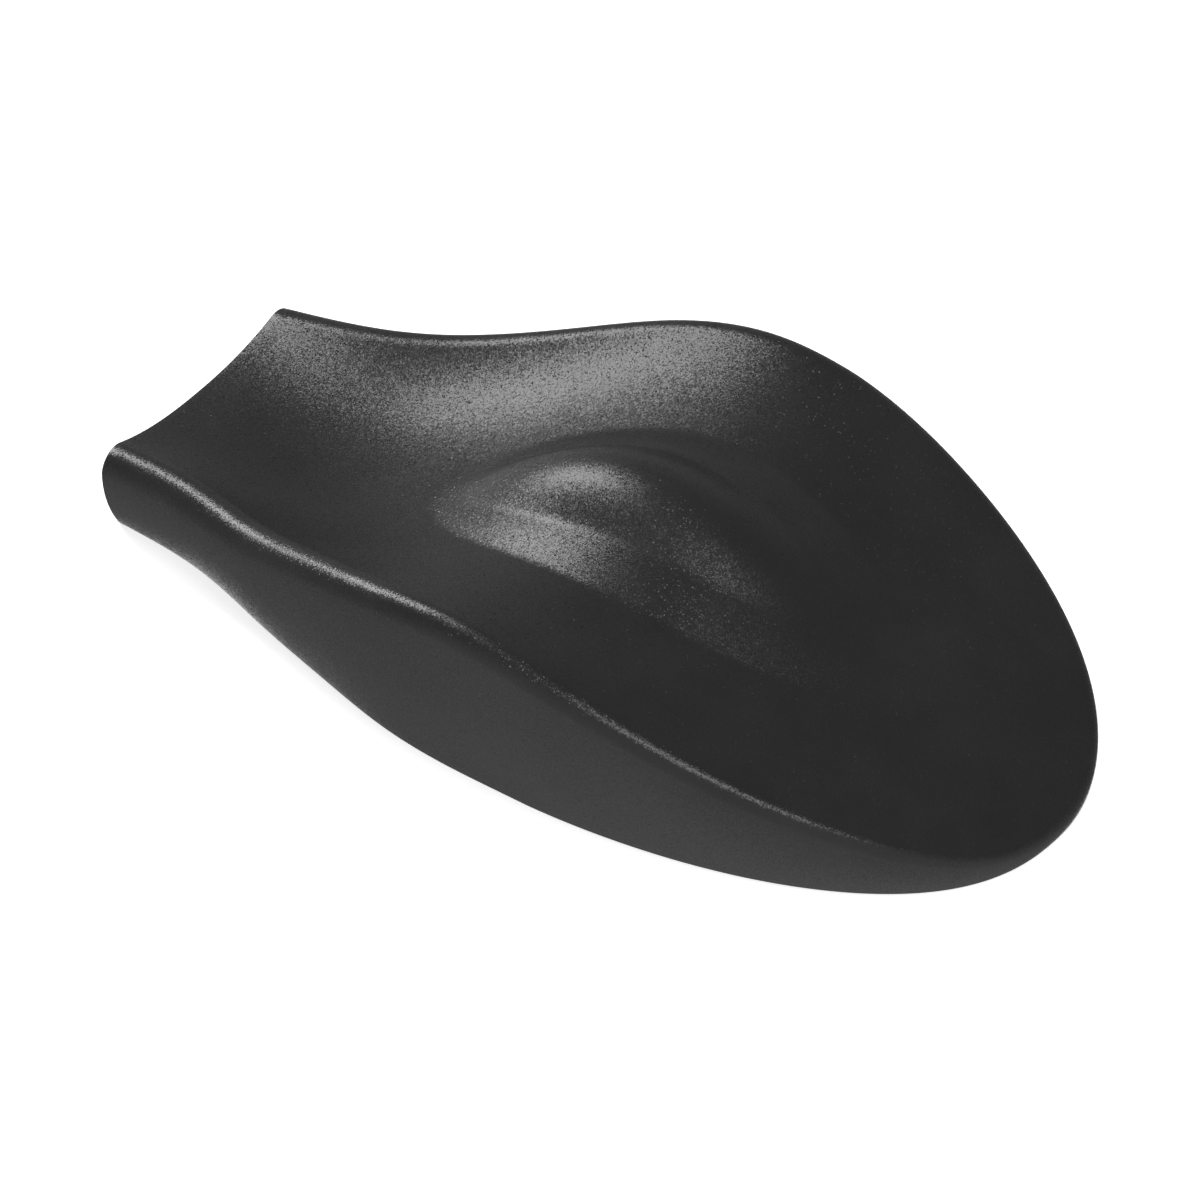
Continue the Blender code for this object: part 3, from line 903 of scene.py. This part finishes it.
    def build(self) -> bpy.types.Object:
        """Make the shell.

        Returns:
            The finished piece.
        """
        material = self.finish.material()
        skin, numbers = self.skin()
        shell = mesh_object("shell", skin, material)
        self.raise_mound(shell, material)
        bm = self.thicken(shell.data, numbers)
        bpy.data.objects.remove(shell, do_unlink=True)
        shell = mesh_object("shell", bm, material)
        bevel(shell, self.edge)
        settle(shell)
        closed = bmesh.new()
        closed.from_mesh(shell.data)
        for place in self.boss_places:
            self.add_boss(closed, place)
        for face in closed.faces:
            face.smooth = True
        closed.to_mesh(shell.data)
        closed.free()
        shell.data.set_sharp_from_angle(angle=math.radians(50))
        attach(shell, "root")
        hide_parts("scoop_shell")
        return shell


# ---------------------------------------------------------------- the grip
@dataclass
class GripSleeve:
    """Soft sleeve on the grip bar: a barrel with a collar at each end and ribs between them."""

    place: Vector = field(default_factory=lambda: Vector((0.01725, 0.0, 0.036)))
    bore: float = 0.0103
    radius: float = 0.0150
    length: float = 0.1120
    waist: float = 0.07
    collar: float = 0.0045
    edge: float = 0.0008
    groove: float = 0.0009
    rib_radius: float = 0.0013
    rib_count: int = 27
    rib_segments: int = 12
    end_land: float = 0.0035            # plain stretch between a collar and the first rib
    segments: int = 72

    def barrel(self, z: float) -> float:
        """Radius of the ribs' crests at a distance along the bar."""
        return self.radius * (1 - self.waist * (z / (self.length / 2)) ** 2)

    def tube(self) -> bmesh.types.BMesh:
        """The plain sleeve, along Z.

        Returns:
            A closed tube with rounded collars and a barrel that lies at the bottom of the grooves.
        """
        half = self.length / 2
        reach = half - self.collar - self.edge
        soft = [(self.radius - self.edge * (1 - math.sin(a)), half - self.edge * (1 - math.cos(a)))
                for a in np.linspace(0, math.pi / 2, 5)]
        collar = [(self.bore, half), *soft, (self.radius, half - self.collar + self.edge / 2),
                  (self.radius - self.edge / 2, half - self.collar)]
        barrel = [(self.barrel(z) - self.groove, z) for z in np.linspace(reach, -reach, 41)]
        return lathe(collar + barrel + [(r, -z) for r, z in reversed(collar)], self.segments)

    def ribs(self, material: bpy.types.Material) -> bpy.types.Object:
        """Ring ribs along the bar, each scaled to the barrel.

        Args:
            material: The sleeve's finish.

        Returns:
            One object with every rib, along Z.
        """
        reach = self.length / 2 - self.collar - self.end_land
        sizes = {"Count": float(self.rib_count), "Reach": reach, "Crest radius": self.radius,
                 "Rib radius": self.rib_radius, "Waist": self.waist / (self.length / 2) ** 2}
        growth = GrowthTree("ribs_along_bar", sizes)
        graph = growth.graph
        count = growth.size("Count")
        step = growth.size("Reach") * 2 / (count - 1)
        start = graph.node("ShaderNodeCombineXYZ", None, {"Z": growth.size("Reach") * -1})
        stride = graph.node("ShaderNodeCombineXYZ", None, {"Z": step})
        sockets = {"Count": count, "Start Location": start.outputs[0], "Offset": stride.outputs[0]}
        line = graph.node("GeometryNodeMeshLine", {"mode": "OFFSET"}, sockets)
        bead_radius = growth.size("Rib radius")
        ring_radius = growth.size("Crest radius") - bead_radius
        circle = "GeometryNodeCurvePrimitiveCircle"
        ring = graph.node(circle, None, {"Resolution": self.segments, "Radius": ring_radius})
        bead = graph.node(circle, None, {"Resolution": self.rib_segments, "Radius": bead_radius})
        sockets = {"Curve": ring.outputs[0], "Profile Curve": bead.outputs[0]}
        rib = graph.node("GeometryNodeCurveToMesh", None, sockets)
        position = graph.node("GeometryNodeInputPosition").outputs[0]
        height = graph.node("ShaderNodeSeparateXYZ", None, {0: position})
        z = graph.value(height, "Z")
        scale = 1 - z * z * growth.size("Waist")
        triple = graph.node("ShaderNodeCombineXYZ", None, {"X": scale, "Y": scale, "Z": 1.0})
        sockets = {"Points": line.outputs[0], "Instance": rib.outputs[0], "Scale": triple.outputs[0]}
        placed = graph.node("GeometryNodeInstanceOnPoints", None, sockets)
        growth.close(placed.outputs[0], material)
        return growth.grow(mesh_object("ribs", bmesh.new(), material))

    def build(self) -> bpy.types.Object:
        """Make the sleeve.

        Returns:
            The finished piece.
        """
        finish = SoftRubber("grip_rubber", (0.022, 0.022, 0.023), 0.78, axis=(self.place.x, self.place.z))
        material = finish.material()
        ribs = self.ribs(material)
        bm = self.tube()
        bm.from_mesh(ribs.data)
        bpy.data.objects.remove(ribs, do_unlink=True)
        turn = Matrix.Translation(self.place) @ Matrix.Rotation(math.pi / 2, 4, "X")
        bmesh.ops.transform(bm, matrix=turn, verts=bm.verts)
        for face in bm.faces:
            face.smooth = True
        sleeve = mesh_object("sleeve", bm, material)
        sleeve.data.set_sharp_from_angle(angle=math.radians(50))
        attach(sleeve, "root")
        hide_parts("grip_sleeve")
        return sleeve


@dataclass
class GripBracket:
    """One of the two brackets: flared cheek, foot, gussets, a socket for the bar and screw holes."""

    side: Side
    grip_x: float = 0.01725
    grip_z: float = 0.036
    inner_y: float = 0.0565
    thickness: float = 0.0070
    socket_radius: float = 0.0103
    socket_depth: float = 0.0028
    hub_radius: float = 0.0165
    waist: tuple[float, float] = (0.0185, 0.0120)       # half width, rise above the bar
    flare: float = 0.0245
    foot_top: float = 0.0577
    foot_length: float = 0.0600
    foot_outer_y: float = 0.0760
    foot_thickness: float = 0.0045
    foot_corner: float = 0.0040
    gusset: tuple[float, float, float] = (0.0024, 0.0120, 0.0200)   # thickness, spread, depth
    gusset_toe: float = 0.0030
    gusset_root: float = 0.0010
    hole_radius: float = 0.0021
    hole_spacing: float = 0.0420
    hole_y: float = 0.0695
    edge: float = 0.0006

    def outline(self) -> list[tuple[float, float]]:
        """Side view of the cheek.

        Returns:
            Points (x, z): round the hub, then up to the foot.
        """
        hub = [(self.hub_radius * math.cos(a), self.grip_z + self.hub_radius * math.sin(a))
               for a in np.linspace(math.radians(155), math.radians(385), 40)]
        half, rise = self.waist
        bottom = self.foot_top - self.foot_thickness
        right = [(half, self.grip_z + rise), (self.flare, bottom), (self.flare, self.foot_top)]
        left = [(-x, z) for x, z in reversed(right)]
        return [(self.grip_x + x, z) for x, z in hub + right + left]

    def foot(self) -> bmesh.types.BMesh:
        """The foot plate, with rounded upright corners.

        Returns:
            A closed mesh.
        """
        half = self.foot_length / 2
        low, high = sorted((self.side.value * self.inner_y, self.side.value * self.foot_outer_y))
        base = self.foot_top - self.foot_thickness
        corners = [(self.grip_x - half, low, base), (self.grip_x + half, low, base),
                   (self.grip_x + half, high, base), (self.grip_x - half, high, base)]
        plate = prism(corners, (0, 0, self.foot_thickness))
        upright = [e for e in plate.edges if (e.verts[0].co - e.verts[1].co).xy.length < 1e-7]
        bmesh.ops.bevel(plate, geom=upright, offset=self.foot_corner, segments=6, affect="EDGES", profile=0.5)
        return plate

    def gussets(self) -> list[bmesh.types.BMesh]:
        """The two gussets between cheek and foot.

        Returns:
            A closed mesh for each.
        """
        side = self.side.value
        thickness, spread, depth = self.gusset
        root_y = side * (self.inner_y + self.thickness - self.gusset_root)
        toe_y = side * (self.foot_outer_y - self.gusset_toe)
        toe_z = self.foot_top - self.foot_thickness + self.gusset_root
        made = []
        for end in (-1, 1):
            x = self.grip_x + end * spread / 2 - thickness / 2
            corners = [(x, root_y, self.foot_top - self.gusset_root), (x, toe_y, toe_z),
                       (x, root_y, self.foot_top - depth)]
            made.append(prism(corners, (thickness, 0, 0)))
        return made

    def cutters(self) -> list[bmesh.types.BMesh]:
        """What is cut away: the bar's socket and the three screw holes.

        Returns:
            A closed mesh for each.
        """
        side = self.side.value
        past = 0.002
        made = []
        seat = lathe([(0, self.socket_depth), (self.socket_radius, self.socket_depth),
                      (self.socket_radius, -past), (0, -past)], 64)
        through = lathe([(0, 0.02), (self.hole_radius, 0.02), (self.hole_radius, -0.02), (0, -0.02)], 32)
        for bm in (seat, through):
            turn = Matrix.Rotation(-side * math.pi / 2, 4, "X")
            move = Matrix.Translation((self.grip_x, side * self.inner_y, self.grip_z))
            bmesh.ops.transform(bm, matrix=move @ turn, verts=bm.verts)
            made.append(bm)
        for end in (-1, 1):
            hole = lathe([(0, 0.01), (self.hole_radius, 0.01), (self.hole_radius, -0.01), (0, -0.01)], 32)
            x = self.grip_x + end * self.hole_spacing / 2
            bmesh.ops.translate(hole, vec=(x, side * self.hole_y, self.foot_top), verts=hole.verts)
            made.append(hole)
        return made

    def build(self, material: bpy.types.Material) -> bpy.types.Object:
        """Make the bracket.

        Args:
            material: Its finish.

        Returns:
            The finished piece.
        """
        inner = self.side.value * self.inner_y
        sweep = (0, self.side.value * self.thickness, 0)
        name = f"bracket_{self.side.name.lower()}"
        bracket = mesh_object(name, prism([(x, inner, z) for x, z in self.outline()], sweep), material)
        helpers = []
        for operation, shapes in (("UNION", [self.foot(), *self.gussets()]), ("DIFFERENCE", self.cutters())):
            for shape in shapes:
                helper = mesh_object("shape", shape, material)
                helper.hide_render = True
                cut = bracket.modifiers.new("shape", "BOOLEAN")
                cut.operation = operation
                cut.solver = "EXACT"
                cut.object = helper
                helpers.append(helper)
        bevel(bracket, self.edge, segments=2, angle=35.0)
        settle(bracket, helpers)
        bracket.data.shade_smooth()
        bracket.data.set_sharp_from_angle(angle=math.radians(32))
        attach(bracket, "root")
        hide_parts(f"grip_bracket_{self.side.name.lower()}")
        return bracket


@dataclass
class ScrewSet:
    """A set of like pan-head screws with hexagon recesses, each set made as one piece."""

    name: str
    nodes: tuple[str, ...]
    places: tuple[tuple[float, float, float], ...]
    turns: tuple[tuple[float, float, float], ...]       # Euler turns that point each shank
    length: float
    shank_radius: float = 0.0018
    head_radius: float = 0.0038
    head_height: float = 0.0024
    recess_radius: float = 0.0017
    recess_depth: float = 0.0012
    edge: float = 0.0006
    seed: int = 7

    def template(self, material: bpy.types.Material) -> bpy.types.Object:
        """One screw, shank up from z = 0 and head below.

        Args:
            material: Its finish.

        Returns:
            A closed object with the turned layer.
        """
        dome = [(self.head_radius * math.cos(a), -self.head_height * math.sin(a))
                for a in np.linspace(0, math.radians(68), 9)]
        crown = (self.recess_radius * 1.12, -self.head_height * 0.99)
        profile = [(0, self.length), (self.shank_radius - self.edge, self.length),
                   (self.shank_radius, self.length - self.edge), (self.shank_radius, 0), *dome, crown,
                   (0, -self.head_height)]
        screw = mesh_object("screw", lathe(profile, 48), material)
        depth = self.head_height - self.recess_depth
        socket = lathe([(0, -depth), (self.recess_radius, -depth),
                        (self.recess_radius, -2 * self.head_height), (0, -2 * self.head_height)], 6)
        helper = mesh_object("socket", socket, material)
        cut = screw.modifiers.new("socket", "BOOLEAN")
        cut.operation = "DIFFERENCE"
        cut.solver = "EXACT"
        cut.object = helper
        settle(screw, [helper])
        turned = screw.data.attributes.new(Layer.TURNED.value, "FLOAT", "POINT")
        for vert, item in zip(screw.data.vertices, turned.data):
            item.value = vert.co.xy.length + abs(vert.co.z) * 0.3
        screw.data.set_sharp_from_angle(angle=math.radians(40))
        return screw

    def build(self, material: bpy.types.Material) -> bpy.types.Object:
        """Make the set.

        Args:
            material: The screws' finish.

        Returns:
            The finished piece.
        """
        template = self.template(material)
        points = bpy.data.meshes.new("points")
        points.from_pydata(self.places, [], [])
        aim = points.attributes.new("aim", "FLOAT_VECTOR", "POINT")
        for item, turn in zip(aim.data, self.turns):
            item.vector = turn
        screws = bpy.data.objects.new(self.name, points)
        bpy.context.scene.collection.objects.link(screws)

        growth = GrowthTree("screws_on_points", {"Spin": math.pi / 3})
        graph = growth.graph
        source = graph.node("GeometryNodeObjectInfo", None, {"Object": template})
        turn = graph.node("GeometryNodeInputNamedAttribute", {"data_type": "FLOAT_VECTOR"}, {"Name": "aim"})
        sockets = {"Points": growth.entry.outputs["Geometry"], "Instance": source.outputs["Geometry"],
                   "Rotation": turn.outputs[0]}
        placed = graph.node("GeometryNodeInstanceOnPoints", None, sockets)
        spin = graph.node("FunctionNodeRandomValue", {"data_type": "FLOAT"},
                          {"Max": growth.size("Spin"), "Seed": self.seed})
        twist = graph.node("ShaderNodeCombineXYZ", None, {"Z": next(s for s in spin.outputs if s.enabled)})
        sockets = {"Instances": placed.outputs[0], "Rotation": twist.outputs[0]}
        spun = graph.node("GeometryNodeRotateInstances", None, sockets)
        growth.close(spun.outputs[0], material)
        growth.grow(screws, [template])
        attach(screws, "root")
        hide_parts(*self.nodes)
        return screws


@dataclass
class Grip:
    """The grip under the mound: bar, sleeve, brackets and screws."""

    grip_x: float = 0.01725
    grip_z: float = 0.036
    head_z: float = 0.0529              # underside of the foot, less the clearance
    bar_screw_y: float = 0.0638
    foot_screw_length: float = 0.0097
    bar_screw_length: float = 0.0160
    bolt_circle: tuple[float, float] = (0.0210, 0.0695)
    steel: Finish = TurnedSteel("screw_steel", (0.56, 0.56, 0.57), 0.30, metallic=1.0)
    nylon: Finish = FilledNylon("bracket_nylon", (0.030, 0.030, 0.031), 0.46)
    rod: Finish = FilledNylon("grip_core_nylon", (0.036, 0.036, 0.037), 0.50)

    def foot_screws(self) -> ScrewSet:
        """The four screws up into the bosses."""
        x, y = self.bolt_circle
        places = tuple((self.grip_x + end * x, side.value * y, self.head_z)
                       for side in Side for end in (-1, 1))
        nodes = tuple(f"bracket_screw_{number}" for number in range(1, 5))
        return ScrewSet("bracket_screws", nodes, places, ((0.0, 0.0, 0.0),) * 4, self.foot_screw_length)

    def bar_screws(self) -> ScrewSet:
        """The two screws into the ends of the bar."""
        places = tuple((self.grip_x, side.value * self.bar_screw_y, self.grip_z) for side in Side)
        turns = tuple((side.value * math.pi / 2, 0.0, 0.0) for side in Side)
        nodes = ("bar_screw_left", "bar_screw_right")
        return ScrewSet("bar_screws", nodes, places, turns, self.bar_screw_length)

    def build(self) -> list[bpy.types.Object]:
        """Make every piece of the grip.

        Returns:
            The finished pieces.
        """
        nylon = self.nylon.material()
        steel = self.steel.material()
        pieces = [GripSleeve().build()]
        pieces += [GripBracket(side).build(nylon) for side in Side]
        pieces += [self.foot_screws().build(steel), self.bar_screws().build(steel)]
        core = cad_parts["grip_core"]
        core.data.materials.clear()
        core.data.materials.append(self.rod.material())
        return pieces + [core]


# ---------------------------------------------------------------- the studio
@dataclass(frozen=True)
class Softbox:
    """A rectangular light that faces the scoop."""

    name: str
    towards: tuple[float, float, float]     # direction from the scoop to the light
    distance: float
    width: float
    height: float
    power: float

    def place(self) -> None:
        """Add the light to the scene."""
        light = bpy.data.lights.new(self.name, "AREA")
        light.energy = self.power
        light.shape = "RECTANGLE"
        light.size = self.width
        light.size_y = self.height
        obj = bpy.data.objects.new(self.name, light)
        direction = Vector(self.towards).normalized()
        obj.location = direction * self.distance + Vector((0, 0, 0.04))
        obj.rotation_euler = direction.to_track_quat("Z", "Y").to_euler()
        obj.visible_camera = False
        bpy.context.scene.collection.objects.link(obj)


@dataclass
class Studio:
    """Pale floor, soft lights, a dim even surround and the camera."""

    azimuth: float = math.radians(36.1)
    elevation: float = math.radians(38.3)
    distance: float = 12.0
    frame_width: float = 0.4334             # width in view at the aim
    sensor: float = 36.0
    aim: tuple[float, float, float] = (0.00215, -0.0166, 0.0347)
    floor_half: float = 4.0
    surround: tuple[float, float] = (0.265, 0.70)        # dim side, bright side
    surround_towards: tuple[float, float, float] = (0.60, -0.72, -0.30)
    surround_edges: tuple[float, float] = (-0.15, 0.50)
    backdrop: float = 2.2                               # seen only at a glance along a surface
    backdrop_edges: tuple[float, float] = (0.93, 1.0)
    lights: tuple[Softbox, ...] = (
        Softbox("heel_softbox", (-0.80, 0.20, 0.58), 1.5, 0.42, 1.10, 15.5),
        Softbox("upper_softbox", (-0.42, -0.08, 0.90), 1.5, 0.40, 0.40, 0.8),
        Softbox("overhead_softbox", (0.40, -0.18, 0.90), 1.5, 0.75, 0.40, 7.0),
    )

    def floor(self) -> None:
        """Lay the floor."""
        half = self.floor_half
        bm = bmesh.new()
        corners = ((-half, -half), (half, -half), (half, half), (-half, half))
        bm.faces.new([bm.verts.new((x, y, -0.0002)) for x, y in corners])
        finish = PaleFloor("pale_floor", (0.9, 0.9, 0.9), 1.0, specular=0.0)
        floor = mesh_object("floor", bm, finish.material())
        floor.visible_glossy = False

    def world(self) -> None:
        """Make the surround: dim, and brighter low down on the near side."""
        world = bpy.data.worlds.new("surround")
        world.use_nodes = True
        bpy.context.scene.world = world
        graph = Graph(world.node_tree)
        direction = graph.node("ShaderNodeTexCoord").outputs["Generated"]
        share = self.facing(graph, direction, self.surround_towards).step(*self.surround_edges)
        away = self.facing(graph, direction, tuple(-self.back())).step(*self.backdrop_edges)
        low, high = self.surround
        sky = world.node_tree.nodes["Background"]
        graph.link((share * (high - low) + low + away * self.backdrop).socket, sky.inputs["Color"])

    @staticmethod
    def facing(graph: Graph, direction: bpy.types.NodeSocket, towards: tuple[float, float, float]) -> Value:
        """How nearly a direction points a given way, as a cosine."""
        node = graph.node("ShaderNodeVectorMath", {"operation": "DOT_PRODUCT"}, {0: direction, 1: towards})
        return graph.value(node, "Value")

    def back(self) -> Vector:
        """Direction from the scoop to the camera."""
        level = math.cos(self.elevation)
        x = math.sin(self.azimuth) * level
        y = -math.cos(self.azimuth) * level
        return Vector((x, y, math.sin(self.elevation)))

    def camera(self) -> None:
        """Set up the camera: far off with a long lens, for hardly any perspective."""
        data = bpy.data.cameras.new("camera")
        data.sensor_width = self.sensor
        data.lens = self.sensor * self.distance / self.frame_width
        data.clip_end = 4 * self.distance
        camera = bpy.data.objects.new("camera", data)
        back = self.back()
        camera.location = Vector(self.aim) + back * self.distance
        camera.rotation_euler = back.to_track_quat("Z", "Y").to_euler()
        bpy.context.scene.collection.objects.link(camera)
        bpy.context.scene.camera = camera

    def build(self) -> None:
        """Put the studio together."""
        self.floor()
        self.world()
        for light in self.lights:
            light.place()
        self.camera()
        bpy.context.scene.view_settings.view_transform = "Standard"


def corners(bounds: tuple[Vector, Vector]) -> list[list[float]]:
    """A box's two corners as plain lists of numbers."""
    return [list(map(float, corner)) for corner in bounds]


def main() -> None:
    """Build the scoop and its studio, and report each piece."""
    logging.basicConfig(level=logging.INFO, format="%(message)s")
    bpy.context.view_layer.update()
    pieces = [ScoopShell().build(), *Grip().build()]
    for piece in pieces:
        log.info("%s: %d faces, %d vertices", piece.name, len(piece.data.polygons), len(piece.data.vertices))
    Studio().build()


if __name__ == "__main__":
    main()
